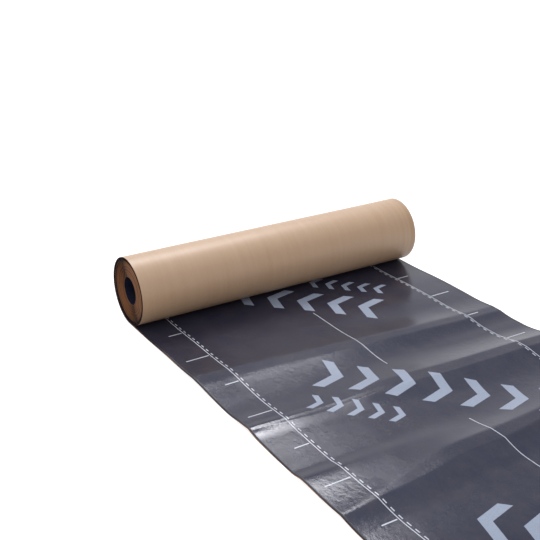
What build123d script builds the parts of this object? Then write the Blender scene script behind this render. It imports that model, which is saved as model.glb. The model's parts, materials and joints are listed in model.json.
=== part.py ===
from build123d import *
import os
from math import floor, pi, sqrt

# Roll of self-adhered roofing membrane with part of its length laid out flat.
# Millimetres. X runs along the roll's axis and across the sheet, +Y from the
# free end to the roll, +Z up. The origin is on the floor, in the middle.

# Stock as sold
stock_width = 914.4
stock_length = 19812.0
membrane_thickness = 1.02
liner_thickness = 0.15

# Winding
bore_radius = 38.0
winding_pitch = 1.30
turns_in_a_band = 5
band_recess_step = 0.4

# Laid sheet, measured along the floor from the roll's axis
laid_length = 1320.0

# Waves across the laid sheet. Each gives where it starts, peaks and ends, as
# distances from the roll's axis, and its height: (left edge, right edge).
first_wave = {"start": (300.0, 370.0), "peak": (395.0, 457.0), "end": (525.0, 525.0), "height": (10.0, 8.0)}
second_wave = {"start": (560.0, 575.0), "peak": (625.0, 663.0), "end": (705.0, 765.0), "height": (8.0, 13.0)}
third_wave = {"start": (800.0, 800.0), "peak": (970.0, 905.0), "end": (1035.0, 995.0), "height": (8.5, 12.0)}
waves = [first_wave, second_wave, third_wave]

# Sizes that follow
layer_thickness = membrane_thickness + liner_thickness
wound_length = stock_length - laid_length
roll_radius = sqrt(bore_radius**2 + wound_length * winding_pitch / pi)
overall_length = laid_length + roll_radius
axis_y = overall_length / 2 - roll_radius
axis_z = roll_radius
band_width = turns_in_a_band * winding_pitch
band_count = floor((roll_radius - 2 * winding_pitch - bore_radius) / band_width)
body_radius = bore_radius + band_count * band_width
front_radius = roll_radius - winding_pitch / 2
front_z = axis_z + winding_pitch / 2


def across(section):
    """Extrude a section in the YZ plane over the full width of the stock."""
    return extrude(section, amount=stock_width / 2, both=True)


def half_discs(inset):
    """Outline of the outer turn, inset from its outside: one winding pitch
    smaller where it comes down in front onto the sheet than where it leaves."""
    height = 4 * roll_radius
    back = Pos(axis_y, axis_z) * Circle(roll_radius - inset)
    back &= Pos(axis_y + roll_radius, axis_z) * Rectangle(2 * roll_radius, height)
    front = Pos(axis_y, front_z) * Circle(front_radius - inset)
    front &= Pos(axis_y - roll_radius, axis_z) * Rectangle(2 * roll_radius, height)
    return back + front


def band_recess(band):
    """How far a band of turns stands back from the end of the roll."""
    return band_recess_step * (1 + (2 * band) % 3)


def wound_body():
    """The turns under the outer one, as one turned solid with its bore. The
    ends step in and out from band to band, as the turns have drifted."""
    edge = [(bore_radius, 0)]
    for band in range(band_count):
        x = stock_width / 2 - band_recess(band)
        edge.append((bore_radius + band * band_width, x))
        edge.append((bore_radius + (band + 1) * band_width, x))
    edge.append((body_radius, 0))
    profile = make_face(Plane.YX * Polyline(*edge, close=True))
    half = revolve(profile, Axis.X, 360)
    return Pos(0, axis_y, axis_z) * (half + mirror(half, Plane.YZ))


def flat_strip(near, far, low, high):
    """A flat stretch of one layer. near and far are distances from the axis,
    each as (left edge, right edge); low and high are its faces' heights."""
    half_width = stock_width / 2
    corners = [
        (-half_width, axis_y - near[0]),
        (half_width, axis_y - near[1]),
        (half_width, axis_y - far[1]),
        (-half_width, axis_y - far[0]),
    ]
    outline = make_face(Pos(0, 0, low) * Polyline(*corners, close=True))
    return extrude(outline, amount=high - low, dir=(0, 0, 1))


def wave_section(wave, side, low, high):
    """Section of one layer through a wave at the left (0) or right (1) edge."""
    start, peak, end = (axis_y - wave[place][side] for place in ("start", "peak", "end"))
    rise = wave["height"][side]
    level = [(-1, 0)] * 3
    under = Spline((start, low), (peak, low + rise), (end, low), tangents=level)
    over = Spline((start, high), (peak, high + rise), (end, high), tangents=level)
    near_edge = Line((start, low), (start, high))
    far_edge = Line((end, low), (end, high))
    x = stock_width * (side - 0.5)
    return Plane.YZ.offset(x) * make_face([under, over, near_edge, far_edge])


def laid_layer(low, high):
    """One layer of the laid sheet: flat on the floor between its waves."""
    near = (0, 0)
    pieces = []
    for wave in waves:
        pieces.append(flat_strip(near, wave["start"], low, high))
        sections = [wave_section(wave, side, low, high) for side in (0, 1)]
        pieces.append(loft(sections, ruled=True))
        near = wave["end"]
    pieces.append(flat_strip(near, (laid_length, laid_length), low, high))
    return pieces


def single_solid(pieces):
    """Fuse the pieces and keep the one solid that they make."""
    joined = pieces[0].fuse(*pieces[1:])
    solids = joined.solids()
    if len(solids) != 1:
        raise ValueError(f"expected one solid, got {len(solids)}")
    return solids[0]


def membrane():
    """Black membrane: wound body, outer turn and laid sheet in one piece."""
    body_outline = Pos(axis_y, axis_z) * Circle(body_radius)
    outer_turns = across(Plane.YZ * (half_discs(liner_thickness) - body_outline))
    laid = laid_layer(liner_thickness, layer_thickness)
    return single_solid([outer_turns, wound_body(), *laid])


def release_liner():
    """Release paper: outside of the outer turn and underside of the sheet."""
    wrap = across(Plane.YZ * (half_discs(0) - half_discs(liner_thickness)))
    return single_solid([wrap, *laid_layer(0, liner_thickness)])


os.makedirs("parts", exist_ok=True)
nodes = {"membrane": membrane(), "release_liner": release_liner()}
for name, solid in nodes.items():
    solid.label = name
    export_step(solid, f"parts/{name}.step")

print(f"roll radius {roll_radius:.2f}, overall length {overall_length:.1f}, axis at y {axis_y:.2f}")
print(f"bands {band_count}, body radius {body_radius:.2f}")
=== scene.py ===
import json
import math

import bpy
import numpy as np
from mathutils import Matrix, Vector


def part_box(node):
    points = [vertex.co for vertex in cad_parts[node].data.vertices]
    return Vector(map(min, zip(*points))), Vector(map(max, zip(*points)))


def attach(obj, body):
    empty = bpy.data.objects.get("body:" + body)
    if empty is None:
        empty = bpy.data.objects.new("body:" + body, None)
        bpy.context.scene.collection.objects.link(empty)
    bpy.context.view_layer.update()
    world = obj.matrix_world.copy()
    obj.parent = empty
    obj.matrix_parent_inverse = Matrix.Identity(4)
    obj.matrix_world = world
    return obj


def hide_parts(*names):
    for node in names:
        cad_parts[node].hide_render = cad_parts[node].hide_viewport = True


# Roll of roofing membrane, partly unrolled. Metres, in the frame of the packed
# model: X across the sheet, +Y from its free end to the roll, Z up.

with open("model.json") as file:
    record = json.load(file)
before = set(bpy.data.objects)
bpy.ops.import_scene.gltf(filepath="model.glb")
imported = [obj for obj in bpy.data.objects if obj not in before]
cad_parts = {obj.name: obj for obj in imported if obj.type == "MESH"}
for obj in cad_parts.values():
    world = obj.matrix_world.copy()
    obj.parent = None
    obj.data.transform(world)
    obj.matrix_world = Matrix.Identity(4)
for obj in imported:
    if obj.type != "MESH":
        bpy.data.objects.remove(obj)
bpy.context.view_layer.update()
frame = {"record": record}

# Sizes from the frame
roll_bore = next(m for m in frame["record"]["mounts"] if m["name"] == "roll_bore")
AXIS_Y, AXIS_Z = roll_bore["pos_m"][1], roll_bore["pos_m"][2]
BORE_RADIUS = roll_bore["dims"]["r_mm"] / 1000
sheet_low, sheet_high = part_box("membrane")
WIDTH = sheet_high.x - sheet_low.x
LAID_LENGTH = AXIS_Y - sheet_low.y
ROLL_RADIUS = AXIS_Z

# Stock
LINER_THICKNESS = 0.00015
MEMBRANE_THICKNESS = 0.00102
PITCH = 0.00130

# Grid of a layer: its first columns from each long edge, and the share of the
# thickness by which a long edge is rounded
EDGE_COLUMNS = (0.0003, 0.0009, 0.0018, 0.0030)
EDGE_ROUNDING = 0.25

# Laid film: how far its edges stand in from the paper's, and the waves in which
# they wander, each as amplitude, radians a metre and phase
SHEET_INSET = 0.0012
EDGE_WANDER = ((0.0004, 9.0, 1.0), (0.0003, 31.0, 0.0))

# Ends of the roll. The outer turns are a rim that stands further out than the
# turns inside it, by the end recess on the left.
RIM_TURNS = 6.0
RIM_FILM_INSET, RIM_FILM_DRIFT = 0.0002, 0.0004
RIM_PAPER_INSET, RIM_PAPER_DRIFT = 0.0012, 0.0005
TURN_DRIFT = 0.0016
END_RECESS = 0.0045
LIP_LENGTH = 0.0030
LIP_CURL = 0.0009

# Outer turn of paper: soft hollows all along, and hoops beside the right end
HOLLOW_DEPTH = 0.0003
HOOP_HEIGHT, HOOP_REACH, HOOP_PITCH = 0.0006, 0.035, 0.016

# Ridges across the laid sheet. Each row of values goes from the left edge to
# the right one: the crest's distance from the roll's axis, its height, how far
# its slopes run on the roll's side and on the free side, and the width of its
# level top. Sharpness, on the roll's side and on the free side, is 1 for a
# slope that is steepest at the crest and 0 for an S-shaped one. Rounding
# softens the crest, as a share of a slope's run.
RIDGES = (
    {"crest": (0.25, 0.25, 0.25), "height": (0.0038, 0.0042, 0.0040), "roll_side": (0.17, 0.17, 0.17),
     "free_side": (0.22, 0.22, 0.24), "top": (0, 0), "sharpness": (0, 0), "rounding": 0.1},
    {"crest": (0.385, 0.405, 0.430, 0.450, 0.460), "height": (0.0065, 0.0075, 0.0080, 0.0085, 0.0055),
     "roll_side": (0.12, 0.12, 0.12, 0.10, 0.09), "free_side": (0.190, 0.150, 0.090, 0.065, 0.060),
     "top": (0.024, 0.024), "sharpness": (1, 1), "rounding": 0.08},
    {"crest": (0.640, 0.640, 0.635, 0.635, 0.640, 0.652, 0.658, 0.661, 0.668),
     "height": (0.0, 0.0, 0.0022, 0.0070, 0.0092, 0.0108, 0.0122, 0.0125, 0.0120),
     "roll_side": (0.10, 0.10, 0.11, 0.095, 0.090), "free_side": (0.050, 0.045, 0.080, 0.10, 0.10),
     "top": (0.030, 0.030, 0.034, 0.032, 0.030), "sharpness": (0.9, 0.8), "rounding": 0.05},
    {"crest": (0.636, 0.654, 0.654, 0.654, 0.654), "height": (0.0048, 0.0004, 0.0, 0.0, 0.0),
     "roll_side": (0.09, 0.09, 0.09, 0.09, 0.09), "free_side": (0.044, 0.040, 0.04, 0.04, 0.04),
     "top": (0.004, 0.004), "sharpness": (0, 1), "rounding": 0.05},
    {"crest": (0.610, 0.620, 0.635), "height": (0.0033, 0.0029, 0.0010, 0.0, 0.0, 0.0, 0.0, 0.0, 0.0),
     "roll_side": (0.10, 0.10, 0.10), "free_side": (0.16, 0.15, 0.12), "top": (0, 0), "sharpness": (0, 0),
     "rounding": 0.1},
    {"crest": (0.632, 0.635, 0.638, 0.640, 0.640), "height": (0.0012, 0.0008, 0.0, 0.0, 0.0),
     "roll_side": (0.022, 0.022, 0.022, 0.022, 0.022), "free_side": (0.013, 0.012, 0.012, 0.012, 0.012),
     "top": (0, 0), "sharpness": (0, 1), "rounding": 0.05},
    {"crest": (0.848, 0.857, 0.870, 0.885, 0.900), "height": (0.0051, 0.0028, 0.0, 0.0, 0.0),
     "roll_side": (0.040, 0.044, 0.05, 0.05, 0.05), "free_side": (0.140, 0.115, 0.030, 0.022, 0.022),
     "top": (0, 0), "sharpness": (0.5, 1), "rounding": 0.2},
    {"crest": (0.984, 0.971, 0.953, 0.938, 0.938, 0.930, 0.920, 0.911, 0.905),
     "height": (0.0066, 0.0074, 0.0095, 0.0128, 0.0138, 0.0135, 0.013, 0.012, 0.011),
     "roll_side": (0.20, 0.185, 0.168, 0.135, 0.118, 0.120, 0.125, 0.128, 0.13),
     "free_side": (0.085, 0.075, 0.072, 0.075, 0.075),
     "top": (0, 0.010, 0.032, 0.038, 0.040, 0.032, 0.030, 0.028, 0.026),
     "sharpness": (1, 1), "rounding": 0.03},
    {"crest": (1.18, 1.19, 1.20), "height": (0.0042, 0.0020, 0.0), "roll_side": (0.14, 0.13, 0.12),
     "free_side": (0.08, 0.08, 0.08), "top": (0, 0), "sharpness": (0, 0), "rounding": 0.1},
)

# Rows of the laid sheet: the creased stretch, as distances from the axis, and
# the spacing of the rows in it and elsewhere
CREASED = (0.60, 0.70)
ROWS = {"creased": 0.0017, "elsewhere": 0.0045}

# Ripples all over the sheet, from clear of the roll: radians a metre across
# and along, and phase
RIPPLES_FROM = 0.10
RIPPLE_HEIGHT = 0.00025
RIPPLES = ((23.0, 4.0, 0.7), (-11.0, 31.0, 2.1), (41.0, 17.0, 4.4), (9.0, -53.0, 1.3), (67.0, 29.0, 5.2))

# Print on the film: places across from the left edge and along from the axis
LINE_WIDTH = 0.0022
TICK_WIDTH = 0.0034
LEFT_LINE, RIGHT_LINE, CENTRE_LINE = 0.096, 0.807, 0.457
DASH_OFFSET, DASH_WIDTH = 0.0065, 0.0026
DASH_PITCH, DASH_LENGTH = 0.0254, 0.013
TICK_GAP = 0.004
TICK_PITCH = 0.1524
SHORT_TICK, LONG_TICK = 0.038, 0.064
LEFT_SHORT_TICK_AT, RIGHT_LONG_TICK_AT = 0.434, 0.301
CENTRE_LINE_GAP_AT, CENTRE_LINE_GAP = 0.6965, 0.299
MARK_CENTRE = (0.486, 0.709)
MARK_PITCH = 0.63
MARK_ANGLE = 46.0

# Rows of chevrons, along the mark: from, to, pitch, height and stroke
LARGE_CHEVRONS = (-0.308, 0.308, 0.088, 0.122, 0.030)
SMALL_CHEVRONS = (-0.295, -0.055, 0.048, 0.064, 0.016)
SMALL_ROW_AT = 0.137
CHEVRON_LEAN = 0.6

# Colours of the film, its print and its cut edges
FILM_HAZE = ((0.010, 0.014, 0.032, 1), (0.015, 0.018, 0.039, 1))
FILM_DUST = (0.028, 0.026, 0.040, 1)
FILM_SPECKS = (0.085, 0.085, 0.095, 1)
FILM_TINT = (0.88, 0.87, 0.95, 1)
MARK_INK = (0.27, 0.31, 0.39, 1)
LINE_INK = (0.50, 0.52, 0.56, 1)
INK_ROUGHNESS = 0.12
SHEET_EDGE = (0.010, 0.006, 0.006, 1)
TURN_EDGE = (0.012, 0.006, 0.006, 1)
EDGE_ROUGHNESS = 0.7

# Colours of the paper, of the painted shade lines round it beside its right end, and of its cut edges
# from light to dark
PAPER_STREAKS = ((0.462, 0.290, 0.164, 1), (0.502, 0.324, 0.191, 1))
PAPER_CLOUD = (0.492, 0.338, 0.223, 1)
PAPER_FIBRE = (0.378, 0.233, 0.139, 1)
# Painted shade: dark lines round the roll beside its right end, standing in for the shade of its hoops
PAINTED_HOOP_SHADE = (0.40, 0.24, 0.125, 1)
PAPER_EDGE = ((0.43, 0.175, 0.064, 1), (0.14, 0.058, 0.026, 1))
PAPER_EDGE_COVER = 0.94

# Floor and background
FLOOR_REACH = 30
FLOOR_COLOUR = (0.45, 0.45, 0.46, 1)
FLOOR_GLOW = 0.82
WHITE = (1, 1, 1, 1)

# Sky that lights the object: sine of its height above the horizon, and colour
SKY = (
    (0.15, (0.92, 0.92, 0.95)),
    (0.33, (0.74, 0.74, 0.77)),
    (0.42, (0.61, 0.61, 0.64)),
    (0.50, (0.455, 0.455, 0.485)),
    (0.68, (0.355, 0.365, 0.42)),
    (0.80, (0.76, 0.79, 0.86)),
    (0.90, (0.89, 0.93, 1.0)),
)

# Lamps: where each stands from its target, in degrees (azimuth from +Y towards
# +X) and metres, and its power in watts
LAMPS = (
    {"name": "key", "azimuth": 22.5, "elevation": 45, "distance": 4.0,
     "target": (-0.35, -0.10, 0), "size": (2.0, 0.8), "power": 47},
    {"name": "window", "azimuth": 37, "elevation": 49, "distance": 4.0,
     "target": (-0.40, -0.05, 0), "size": (0.30, 0.30), "power": 8},
    {"name": "fill", "azimuth": 200, "elevation": 50, "distance": 3.5,
     "target": (0, 0, 0), "size": (2.8, 2.8), "power": 34},
)

# Camera, fitted to the photo: millimetres for the lens, degrees for the rest
CAMERA_AT = (-1.3736, -1.5874, 1.1820)
CAMERA_AZIMUTH = 31.83
CAMERA_PITCH = -23.48
CAMERA_ROLL = 0.23
CAMERA_LENS = 64.32
CAMERA_SENSOR = 36
CAMERA_CLIP_END = 200


def across(values, t):
    """Smooth value across the sheet from evenly spaced values, left to right."""
    values = np.asarray(values)
    last = len(values) - 1
    place = np.clip(t, 0, 1) * last
    i = np.minimum(place.astype(int), last - 1)
    s = place - i
    before, a, b, after = (values[np.clip(i + k, 0, last)] for k in (-1, 0, 1, 2))
    slope_a, slope_b = (b - before) / 2, (after - a) / 2
    rise = a * (2 * s**3 - 3 * s**2 + 1) + b * (3 * s**2 - 2 * s**3)
    return rise + slope_a * (s**3 - 2 * s**2 + s) + slope_b * (s**3 - s**2)


def ridge_height(ridge, t, d):
    """Height of one ridge, level at its top and its feet."""
    away = d - across(ridge["crest"], t)
    run = np.where(away < 0, across(ridge["roll_side"], t), across(ridge["free_side"], t))
    sharpness = np.where(away < 0, *ridge["sharpness"])
    rounding = ridge["rounding"]
    full = np.sqrt(1 + rounding**2) - rounding
    past_top = np.maximum(np.abs(away) - across(ridge["top"], t) / 2, 0) / run
    share = np.clip((np.sqrt(past_top**2 + rounding**2) - rounding) / full, 0, 1)
    sharp, round_off = (1 - share) ** 2, 1 - share**2 * (3 - 2 * share)
    return across(ridge["height"], t) * (sharpness * sharp + (1 - sharpness) * round_off)


def sheet_height(x, d):
    """Height of the laid sheet's underside at x across and d from the axis."""
    t = x / WIDTH + 0.5
    height = sum(ridge_height(ridge, t, d) for ridge in RIDGES)
    ripple = sum(np.sin(a * x + b * d + phase) for a, b, phase in RIPPLES) / len(RIPPLES)
    clear_of_roll = np.clip((d - RIPPLES_FROM) / RIPPLES_FROM, 0, 1)
    return height + RIPPLE_HEIGHT * (1 + ripple) * clear_of_roll


def grid_mesh(name, x, y, z, normal_y, normal_z, low, high):
    """Closed layer over a grid of places: rows follow the stock's length and
    columns go across it. It fills from low to high along the normal, and its
    long edges are rounded."""
    rows, columns = y.shape
    inset = np.zeros(columns)
    inset[0] = inset[-1] = EDGE_ROUNDING * (high - low)
    sides = []
    for offset in (low + inset, high - inset):
        sides.append(np.stack([x, y + normal_y * offset, z + normal_z * offset], axis=-1).reshape(-1, 3))
    verts = np.concatenate(sides)
    under = np.arange(rows * columns).reshape(rows, columns)
    over = under + rows * columns

    def quads(*corners):
        return np.stack(corners, axis=-1).reshape(-1, 4)

    faces = np.concatenate([
        quads(over[:-1, :-1], over[1:, :-1], over[1:, 1:], over[:-1, 1:]),
        quads(under[:-1, :-1], under[:-1, 1:], under[1:, 1:], under[1:, :-1]),
        quads(under[:-1, 0], under[1:, 0], over[1:, 0], over[:-1, 0]),
        quads(under[:-1, -1], over[:-1, -1], over[1:, -1], under[1:, -1]),
        quads(under[0, :-1], over[0, :-1], over[0, 1:], under[0, 1:]),
        quads(under[-1, :-1], under[-1, 1:], over[-1, 1:], over[-1, :-1]),
    ])
    mesh = bpy.data.meshes.new(name)
    mesh.vertices.add(len(verts))
    mesh.vertices.foreach_set("co", verts.ravel())
    mesh.loops.add(faces.size)
    mesh.loops.foreach_set("vertex_index", faces.ravel())
    mesh.polygons.add(len(faces))
    mesh.polygons.foreach_set("loop_start", np.arange(0, faces.size, 4))
    mesh.polygons.foreach_set("use_smooth", np.ones(len(faces), bool))
    mesh.update(calc_edges=True)
    mesh.validate()
    return mesh


def column_places(step):
    """Places across the stock from 0 to 1, close together at its edges."""
    close = np.array([0, *EDGE_COLUMNS]) / WIDTH
    middle = np.linspace(close[-1], 1 - close[-1], round(WIDTH / step) + 1)
    return np.concatenate([close[:-1], middle, 1 - close[-2::-1]])


def row_places():
    """Rows of the laid sheet, close together where it is creased."""
    stretches = (
        (LAID_LENGTH, CREASED[1], ROWS["elsewhere"]),
        (CREASED[1], CREASED[0], ROWS["creased"]),
        (CREASED[0], 0, ROWS["elsewhere"]),
    )
    rows = []
    for far, near, step in stretches:
        rows.append(np.linspace(far, near, round((far - near) / step), endpoint=False))
    return np.concatenate([*rows, [0]])


def laid_layer(name, step_across, inset, low, high):
    """One layer of the laid sheet, from the free end to under the roll."""
    distances = row_places()
    share, d = np.meshgrid(column_places(step_across), distances)
    left, right = inset(d)
    x = -WIDTH / 2 + left + share * (WIDTH - left - right)
    step = 0.0005
    slope = (sheet_height(x, d + step) - sheet_height(x, d - step)) / (2 * step)
    length = np.sqrt(1 + slope**2)
    return grid_mesh(name, x, AXIS_Y - d, sheet_height(x, d), slope / length, 1 / length, low, high)


def wound_layer(name, step_across, rows_a_turn, first, last, inset, swell, low, high):
    """One layer of the wound stock between two counts of turns from the
    outside. A turn runs from the floor over the back and the top to the front
    and on inwards."""
    turns = np.linspace(first, last, round((last - first) * rows_a_turn) + 1)
    share, n = np.meshgrid(column_places(step_across), turns)
    left, right = inset(n)
    x = -WIDTH / 2 + left + share * (WIDTH - left - right)
    angle = n * 2 * math.pi
    radius = ROLL_RADIUS - PITCH * n + swell(x, n)
    sine, cosine = np.sin(angle), np.cos(angle)
    return grid_mesh(name, x, AXIS_Y + radius * sine, AXIS_Z - radius * cosine, -sine, cosine, low, high)


def film_edge(d):
    """How far the laid film's edges stand in from the paper's."""
    wander = sum(amplitude * np.sin(rate * d + phase) for amplitude, rate, phase in EDGE_WANDER)
    return SHEET_INSET + wander, SHEET_INSET - wander


def paper_edge(d):
    return np.zeros_like(d), np.zeros_like(d)


def turn_drift(n, phase):
    """Uneven sideways drift of the turns, from 0 to 1."""
    slow, quick = 0.22 * np.sin(1.1 * n + phase), 0.16 * np.sin(2.9 * n + 2 * phase)
    return 0.5 + slow + quick + 0.12 * np.sin(6.7 * n + 1)


def film_turn_edge(n):
    """The outer turns of film stand out past the paper, the inner ones lie in."""
    inner = np.clip(n - RIM_TURNS, 0, 1)
    left = RIM_FILM_INSET + RIM_FILM_DRIFT * turn_drift(n, 0.3) + (END_RECESS + LIP_LENGTH) * inner
    right = RIM_FILM_INSET + RIM_FILM_DRIFT * turn_drift(n, 2.2) + LIP_LENGTH * inner
    return left, right


def paper_turn_edge(n):
    """The rim's paper lies in behind its film. The outermost turn is flush
    with the laid sheet at its start, and the drift sets in along it."""
    outer = np.clip(n - 0.8, 0, 0.2) * 5 * np.clip(RIM_TURNS + 0.5 - n, 0, 1)
    inner = np.clip(n - RIM_TURNS, 0, 1)
    started = np.clip(n - 0.5, 0, 1)
    drift = RIM_PAPER_DRIFT + (TURN_DRIFT - RIM_PAPER_DRIFT) * inner
    left = drift * turn_drift(n, 4.1) * started + RIM_PAPER_INSET * outer + END_RECESS * inner
    right = drift * turn_drift(n, 5.3) * started + RIM_PAPER_INSET * outer
    return left, right


def no_swell(x, n):
    return np.zeros_like(x)


def lip_curl(x, n):
    """The inner turns of paper stand past the film and curl in over it."""
    inner = np.clip(n - RIM_TURNS - 0.5, 0, 1)
    recess = np.where(x < 0, END_RECESS * np.clip(n - RIM_TURNS, 0, 1), 0)
    from_end = WIDTH / 2 - np.abs(x) - recess
    curl = LIP_CURL * (0.5 + turn_drift(n, 5.0))
    return -curl * inner * np.clip(1 - from_end / LIP_LENGTH, 0, 1) ** 1.5


def wrap_swell(x, n):
    """How far the outer turn of paper stands off: soft hollows along it, and
    fine hoops beside the right end."""
    start = np.clip(n / 0.05, 0, 1) * np.clip((0.95 - n) / 0.1, 0, 1)
    soft = 0.5 + 0.25 * np.sin(7 * x + 5 * n) + 0.25 * np.sin(17 * x - 3 * n + 1)
    from_end = WIDTH / 2 - x
    hoop_phase = from_end * 2 * math.pi / HOOP_PITCH + 2 * n
    hoops = np.exp(-from_end / HOOP_REACH) * (0.5 + 0.5 * np.cos(hoop_phase))
    return start * (HOLLOW_DEPTH * soft + HOOP_HEIGHT * hoops)


def add_piece(name, mesh, material, slot, *nodes):
    piece = bpy.data.objects.new(name, mesh)
    bpy.context.scene.collection.objects.link(piece)
    mesh.materials.append(material)
    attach(piece, "root")
    if nodes:
        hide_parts(*nodes)


class NodeTree:
    """Adds nodes to a material or world, and joins or sets their inputs."""

    def __init__(self, owner):
        owner.use_nodes = True
        self.tree = owner.node_tree
        self.tree.nodes.clear()

    def put(self, node, socket, value):
        if isinstance(value, bpy.types.NodeSocket):
            self.tree.links.new(value, node.inputs[socket])
        else:
            node.inputs[socket].default_value = value

    def node(self, kind, inputs=None, **settings):
        node = self.tree.nodes.new("ShaderNode" + kind)
        for name, value in settings.items():
            setattr(node, name, value)
        for socket, value in (inputs or {}).items():
            self.put(node, socket, value)
        return node

    def math(self, operation, *values):
        node = self.node("Math", operation=operation)
        for socket, value in enumerate(values):
            self.put(node, socket, value)
        return node.outputs[0]

    def place(self):
        """The piece's own coordinates, in metres: x, y, z."""
        coordinates = self.node("TexCoord").outputs["Object"]
        split = self.node("SeparateXYZ", {"Vector": coordinates})
        return split.outputs["X"], split.outputs["Y"], split.outputs["Z"]

    def noise(self, scale, detail=3.0, roughness=0.5, stretch=(1, 1, 1)):
        coordinates = self.node("TexCoord").outputs["Object"]
        mapping = self.node("Mapping", {"Vector": coordinates, "Scale": stretch})
        inputs = {"Vector": mapping.outputs[0], "Scale": scale, "Detail": detail, "Roughness": roughness}
        return self.node("TexNoise", inputs).outputs["Fac"]

    def rings(self, scale, detail=3.0):
        """Noise that changes only with the distance from the roll's axis."""
        _, y, z = self.place()
        offset = {"Y": self.math("SUBTRACT", y, AXIS_Y), "Z": self.math("SUBTRACT", z, AXIS_Z)}
        from_axis = self.node("CombineXYZ", offset)
        radius = self.node("VectorMath", {0: from_axis.outputs[0]}, operation="LENGTH").outputs["Value"]
        inputs = {"W": radius, "Scale": scale, "Detail": detail, "Roughness": 0.6}
        return self.node("TexNoise", inputs, noise_dimensions="1D").outputs["Fac"]

    def between(self, value, low, high, from_low=0.0, from_high=1.0):
        """value, spread from one range to another."""
        inputs = {"Value": value, "From Min": from_low, "From Max": from_high,
                  "To Min": low, "To Max": high}
        return self.node("MapRange", inputs).outputs["Result"]

    def blend(self, share, a, b):
        node = self.node("Mix", data_type="RGBA")
        for socket, value in (("Factor", share), ("A", a), ("B", b)):
            which = next(s for s in node.inputs if s.name == socket and s.enabled)
            if isinstance(value, bpy.types.NodeSocket):
                self.tree.links.new(value, which)
            else:
                which.default_value = value
        return next(s for s in node.outputs if s.enabled)

    def near(self, value, centre, width):
        """1 where value is within half the width of the centre."""
        away = self.math("ABSOLUTE", self.math("SUBTRACT", value, centre))
        return self.math("LESS_THAN", away, width / 2)

    def repeated(self, value, start, pitch):
        """Signed distance from the nearest of start, start + pitch and so on."""
        return self.math("WRAP", self.math("SUBTRACT", value, start), pitch / 2, -pitch / 2)

    def times(self, a, b):
        """Product. Of two masks, it is 1 where both are."""
        return self.math("MULTIPLY", a, b)

    def any_of(self, *masks):
        found = masks[0]
        for mask in masks[1:]:
            found = self.math("MAXIMUM", found, mask)
        return found

    def bump(self, height, strength, distance, normal=None):
        inputs = {"Height": height, "Strength": strength, "Distance": distance}
        if normal:
            inputs["Normal"] = normal
        return self.node("Bump", inputs).outputs["Normal"]

    def surface(self, **inputs):
        shader = self.node("BsdfPrincipled")
        for socket, value in inputs.items():
            self.put(shader, socket.replace("_", " "), value)
        output = self.node("OutputMaterial")
        self.tree.links.new(shader.outputs[0], output.inputs["Surface"])


def lap_line(nodes, x, d, line, dash_side):
    """A solid line with a dashed one beside it."""
    solid = nodes.near(x, line, LINE_WIDTH)
    dash_row = nodes.near(x, line + dash_side * DASH_OFFSET, DASH_WIDTH)
    dash = nodes.near(nodes.repeated(d, 0, DASH_PITCH), 0, DASH_LENGTH)
    return nodes.any_of(solid, nodes.times(dash_row, dash))


def ticks(nodes, x, d, line, side, short_at):
    """Ticks that run outwards from a lap line, short and long by turns."""
    found = []
    for length, start in ((SHORT_TICK, short_at), (LONG_TICK, short_at + TICK_PITCH)):
        stroke = nodes.near(nodes.repeated(d, start, 2 * TICK_PITCH), 0, TICK_WIDTH)
        reach = nodes.near(x, line + side * (TICK_GAP + length / 2), length)
        found.append(nodes.times(stroke, reach))
    return nodes.any_of(*found)


def chevrons(nodes, u, v, row_from, row_to, pitch, height, stroke):
    """A row of chevrons that point along u, centred on v = 0."""
    count = round((row_to - row_from) / pitch)
    middle = (row_from + row_to) / 2
    cell = nodes.repeated(u, row_from + pitch / 2, pitch)
    lean = nodes.math("MULTIPLY", nodes.math("ABSOLUTE", v), CHEVRON_LEAN)
    band = nodes.near(nodes.math("ADD", cell, lean), 0.15 * height, stroke)
    row = nodes.times(nodes.near(u, middle, count * pitch), nodes.near(v, 0, height))
    return nodes.times(band, row)


def direction_mark(nodes, x, d, centre, facing):
    """Two rows of chevrons on the diagonal, facing 1 or turned about, -1."""
    sine, cosine = math.sin(math.radians(MARK_ANGLE)), math.cos(math.radians(MARK_ANGLE))
    along = nodes.math("MULTIPLY", nodes.repeated(d, centre[1], 2 * MARK_PITCH), facing)
    over = nodes.math("MULTIPLY", nodes.math("SUBTRACT", x, centre[0]), facing)
    u = nodes.math("ADD", nodes.times(over, cosine), nodes.times(along, sine))
    v = nodes.math("SUBTRACT", nodes.times(along, cosine), nodes.times(over, sine))
    large = chevrons(nodes, u, v, *LARGE_CHEVRONS)
    small = chevrons(nodes, u, nodes.math("SUBTRACT", v, SMALL_ROW_AT), *SMALL_CHEVRONS)
    return nodes.any_of(large, small)


def printed(nodes):
    """Masks of the print on the laid film: its lines, and its marks."""
    x, y, _ = nodes.place()
    x = nodes.math("ADD", x, WIDTH / 2)
    d = nodes.math("SUBTRACT", AXIS_Y, y)
    from_gap = nodes.repeated(d, CENTRE_LINE_GAP_AT, MARK_PITCH)
    outside_gap = nodes.math("GREATER_THAN", nodes.math("ABSOLUTE", from_gap), CENTRE_LINE_GAP / 2)
    turned_centre = (WIDTH - MARK_CENTRE[0], MARK_CENTRE[1] + MARK_PITCH)
    lines = nodes.any_of(
        lap_line(nodes, x, d, LEFT_LINE, 1),
        lap_line(nodes, x, d, RIGHT_LINE, -1),
        nodes.times(nodes.near(x, CENTRE_LINE, LINE_WIDTH), outside_gap),
        ticks(nodes, x, d, LEFT_LINE, -1, LEFT_SHORT_TICK_AT),
        ticks(nodes, x, d, RIGHT_LINE, 1, RIGHT_LONG_TICK_AT + TICK_PITCH),
    )
    marks = nodes.any_of(
        direction_mark(nodes, x, d, MARK_CENTRE, 1),
        direction_mark(nodes, x, d, turned_centre, -1),
    )
    return lines, marks


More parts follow.
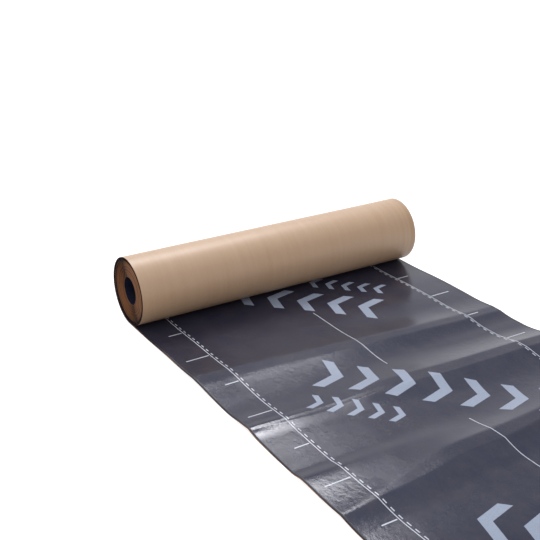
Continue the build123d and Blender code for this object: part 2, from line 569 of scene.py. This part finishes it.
def cut_edges(nodes, depth):
    """Mask that fades out over a depth inwards from the stock's long edges."""
    x, _, _ = nodes.place()
    from_edge = nodes.math("SUBTRACT", WIDTH / 2, nodes.math("ABSOLUTE", x))
    return nodes.between(from_edge, 1.0, 0.0, 0.2 * depth, depth)


def film_material(name, with_print, specular, edge_depth, edge_colour):
    """Satin black film over bitumen: haze, dust, print, and a surface that
    puckers all over and crinkles in patches. It is tauter, so glossier, on the
    ridges beside the left edge."""
    material = bpy.data.materials.new(name)
    nodes = NodeTree(material)
    haze = nodes.noise(7.0, 3.0, 0.5, (1, 0.35, 1))
    colour = nodes.blend(nodes.between(haze, 0, 1, 0.3, 0.7), *FILM_HAZE)
    dust = nodes.between(nodes.noise(22.0, 8.0, 0.75, (1, 0.7, 1)), 0, 1, 0.38, 0.66)
    colour = nodes.blend(dust, colour, FILM_DUST)
    specks = nodes.between(nodes.noise(260.0, 3.0, 0.6), 0, 0.5, 0.62, 0.74)
    colour = nodes.blend(nodes.times(specks, dust), colour, FILM_SPECKS)
    roughness = nodes.between(nodes.noise(14.0, 6.0, 0.65, (1, 0.5, 1)), 0.19, 0.26, 0.3, 0.7)
    if with_print:
        x, _, z = nodes.place()
        left_edge = -WIDTH / 2
        beside_left_edge = nodes.between(x, 1.0, 0.0, left_edge + 0.06, left_edge + 0.18)
        taut = nodes.times(nodes.between(z, 0.0, 0.07, 0.003, 0.006), beside_left_edge)
        roughness = nodes.math("SUBTRACT", roughness, taut)
        lines, marks = printed(nodes)
        cover = nodes.between(nodes.noise(420.0, 2.0), 0.80, 1.0, 0.3, 0.5)
        colour = nodes.blend(nodes.times(marks, cover), colour, MARK_INK)
        colour = nodes.blend(nodes.times(lines, cover), colour, LINE_INK)
        matt_ink = nodes.times(nodes.any_of(lines, marks), INK_ROUGHNESS)
        roughness = nodes.math("ADD", roughness, matt_ink)
    cut_edge = cut_edges(nodes, edge_depth)
    colour = nodes.blend(cut_edge, colour, edge_colour)
    roughness = nodes.math("ADD", roughness, nodes.times(cut_edge, EDGE_ROUGHNESS))
    pucker = nodes.bump(nodes.noise(45.0, 3.0, 0.55), 0.25, 0.0006)
    patches = nodes.between(nodes.noise(6.0, 2.0), 0.2, 1.0, 0.40, 0.58)
    crinkled = nodes.times(nodes.noise(110.0, 3.0, 0.5, (1, 0.7, 1)), patches)
    crinkles = nodes.bump(crinkled, 0.5, 0.0007, pucker)
    grain = nodes.bump(nodes.noise(300.0, 4.0, 0.7), 0.5, 0.00014, crinkles)
    nodes.surface(Base_Color=colour, Roughness=roughness, Normal=grain,
                  Specular_IOR_Level=specular, Specular_Tint=FILM_TINT)
    return material


def paper_material(name, edge_depth, specular):
    """Tan kraft release paper, streaked along the stock and browner at its
    cut edges, with lines of painted shade round it beside the right end."""
    material = bpy.data.materials.new(name)
    nodes = NodeTree(material)
    streaks = nodes.noise(9.0, 4.0, 0.6, (9, 0.5, 0.5))
    cloud = nodes.noise(6.0, 4.0, 0.6)
    fibre = nodes.noise(500.0, 3.0, 0.6, (1, 0.35, 0.35))
    colour = nodes.blend(nodes.between(streaks, 0, 1, 0.3, 0.7), *PAPER_STREAKS)
    colour = nodes.blend(nodes.between(cloud, 0, 0.35, 0.35, 0.7), colour, PAPER_CLOUD)
    colour = nodes.blend(nodes.between(fibre, 0, 0.25, 0.45, 0.75), colour, PAPER_FIBRE)
    x, _, _ = nodes.place()
    # Painted shade: dark lines round the roll within 8 cm of its right end, standing in for the shade of
    # its hoops
    beside_end = nodes.between(x, 0.0, 1.0, WIDTH / 2 - 0.08, WIDTH / 2 - 0.01)
    hoop_shade_lines = nodes.between(nodes.noise(60.0, 2.0, 0.5, (1, 0.02, 0.02)), 0.0, 0.7, 0.45, 0.62)
    colour = nodes.blend(nodes.times(beside_end, hoop_shade_lines), colour, PAINTED_HOOP_SHADE)
    edge = nodes.times(cut_edges(nodes, edge_depth), PAPER_EDGE_COVER)
    rings = nodes.between(nodes.rings(230.0), 0, 1, 0.40, 0.60)
    colour = nodes.blend(edge, colour, nodes.blend(rings, *PAPER_EDGE))
    roughness = nodes.between(cloud, 0.42, 0.50, 0.3, 0.7)
    hoops = nodes.bump(nodes.noise(40.0, 2.0, 0.5, (1, 0.06, 0.06)), 0.12, 0.0008)
    grain = nodes.bump(fibre, 0.15, 0.00006, hoops)
    nodes.surface(Base_Color=colour, Roughness=roughness, Normal=grain, Specular_IOR_Level=specular)
    return material


def background_rays(nodes):
    """1 for rays that show the white background to the camera or in a gloss."""
    path = nodes.node("LightPath")
    kinds = ("Is Camera Ray", "Is Glossy Ray", "Is Transmission Ray")
    return nodes.any_of(*(path.outputs[kind] for kind in kinds))


def add_floor():
    """White floor that keeps the shadow."""
    reach = FLOOR_REACH
    corners = [(-reach, -reach, 0), (reach, -reach, 0), (reach, reach, 0), (-reach, reach, 0)]
    mesh = bpy.data.meshes.new("floor")
    mesh.from_pydata(corners, [], [(0, 1, 2, 3)])
    floor = bpy.data.objects.new("floor", mesh)
    bpy.context.scene.collection.objects.link(floor)
    material = bpy.data.materials.new("floor")
    nodes = NodeTree(material)
    diffuse = nodes.node("BsdfDiffuse", {"Color": FLOOR_COLOUR})
    glow = nodes.node("Emission", {"Strength": nodes.times(background_rays(nodes), FLOOR_GLOW)})
    both = nodes.node("AddShader", {0: diffuse.outputs[0], 1: glow.outputs[0]})
    nodes.node("OutputMaterial", {"Surface": both.outputs[0]})
    mesh.materials.append(material)


def add_world():
    """White to the camera. What lights the object is white at the horizon and
    greyer overhead, so that the film's ridges read light and dark."""
    world = bpy.data.worlds.new("studio")
    bpy.context.scene.world = world
    nodes = NodeTree(world)
    split = nodes.node("SeparateXYZ", {"Vector": nodes.node("TexCoord").outputs["Generated"]})
    ramp = nodes.node("ValToRGB", {"Fac": split.outputs["Z"]})
    stops = ramp.color_ramp.elements
    stops[0].position, stops[0].color = SKY[0][0], (*SKY[0][1], 1)
    stops[1].position, stops[1].color = SKY[-1][0], (*SKY[-1][1], 1)
    for place, colour in SKY[1:-1]:
        stops.new(place).color = (*colour, 1)
    front = nodes.between(split.outputs["Y"], 0.80, 1.5, -0.5, 0.3)
    sky = nodes.node("Background", {"Color": ramp.outputs["Color"], "Strength": front})
    white = nodes.node("Background", {"Color": WHITE, "Strength": 1.0})
    seen = nodes.node("LightPath").outputs["Is Camera Ray"]
    mix = nodes.node("MixShader", {"Fac": seen, 1: sky.outputs[0], 2: white.outputs[0]})
    nodes.node("OutputWorld", {"Surface": mix.outputs[0]})


def direction(azimuth, elevation):
    """Unit vector at an azimuth, counted from +Y towards +X, and an elevation,
    both in degrees."""
    turn, rise = math.radians(azimuth), math.radians(elevation)
    return Vector((math.sin(turn) * math.cos(rise), math.cos(turn) * math.cos(rise), math.sin(rise)))


def area_lamp(name, azimuth, elevation, distance, target, size, power):
    """Soft lamp that shines on the target from a direction and a distance."""
    lamp = bpy.data.lights.new(name, "AREA")
    lamp.shape = "RECTANGLE"
    lamp.size, lamp.size_y = size
    lamp.energy = power
    towards = direction(azimuth, elevation)
    holder = bpy.data.objects.new(name, lamp)
    holder.location = Vector(target) + towards * distance
    holder.rotation_euler = (-towards).to_track_quat("-Z", "Y").to_euler()
    bpy.context.scene.collection.objects.link(holder)


def add_camera():
    data = bpy.data.cameras.new("camera")
    data.lens = CAMERA_LENS
    data.sensor_width = CAMERA_SENSOR
    data.clip_end = CAMERA_CLIP_END
    holder = bpy.data.objects.new("camera", data)
    look = direction(CAMERA_AZIMUTH, CAMERA_PITCH)
    turn = look.to_track_quat("-Z", "Y").to_matrix().to_4x4()
    roll = Matrix.Rotation(math.radians(CAMERA_ROLL), 4, "Z")
    holder.matrix_world = Matrix.Translation(CAMERA_AT) @ turn @ roll
    bpy.context.scene.collection.objects.link(holder)
    bpy.context.scene.camera = holder


def add_roll():
    """The stock in its pieces: laid sheet and wound turns of both layers."""
    top = LINER_THICKNESS + MEMBRANE_THICKNESS
    last = (ROLL_RADIUS - BORE_RADIUS - top) / PITCH
    film = film_material("printed_film", True, 0.5, 0.008, SHEET_EDGE)
    turns_film = film_material("film_of_the_turns", False, 0.1, 0.006, TURN_EDGE)
    paper = paper_material("release_paper", 0.0012, 0.9)
    turns_paper = paper_material("release_paper_of_the_turns", 0.025, 0.3)
    mesh = laid_layer("membrane_sheet", 0.0085, film_edge, LINER_THICKNESS, top)
    add_piece("membrane_sheet", mesh, film, "membrane", "membrane")
    mesh = wound_layer("membrane_turns", 1.0, 72, 0, last, film_turn_edge, no_swell, LINER_THICKNESS, top)
    add_piece("membrane_turns", mesh, turns_film, "membrane")
    mesh = laid_layer("liner_sheet", 0.03, paper_edge, 0, LINER_THICKNESS)
    add_piece("liner_sheet", mesh, paper, "release_liner")
    mesh = wound_layer("liner_wrap", 0.006, 120, 0, 1.0, paper_turn_edge, wrap_swell, 0, LINER_THICKNESS)
    add_piece("liner_wrap", mesh, paper, "release_liner", "release_liner")
    mesh = wound_layer("liner_turns", 1.0, 72, 1.0, last, paper_turn_edge, lip_curl, 0, LINER_THICKNESS)
    add_piece("liner_turns", mesh, turns_paper, "release_liner")


add_roll()
add_floor()
add_world()
for lamp in LAMPS:
    area_lamp(**lamp)
add_camera()

bpy.context.scene.view_settings.view_transform = "Standard"
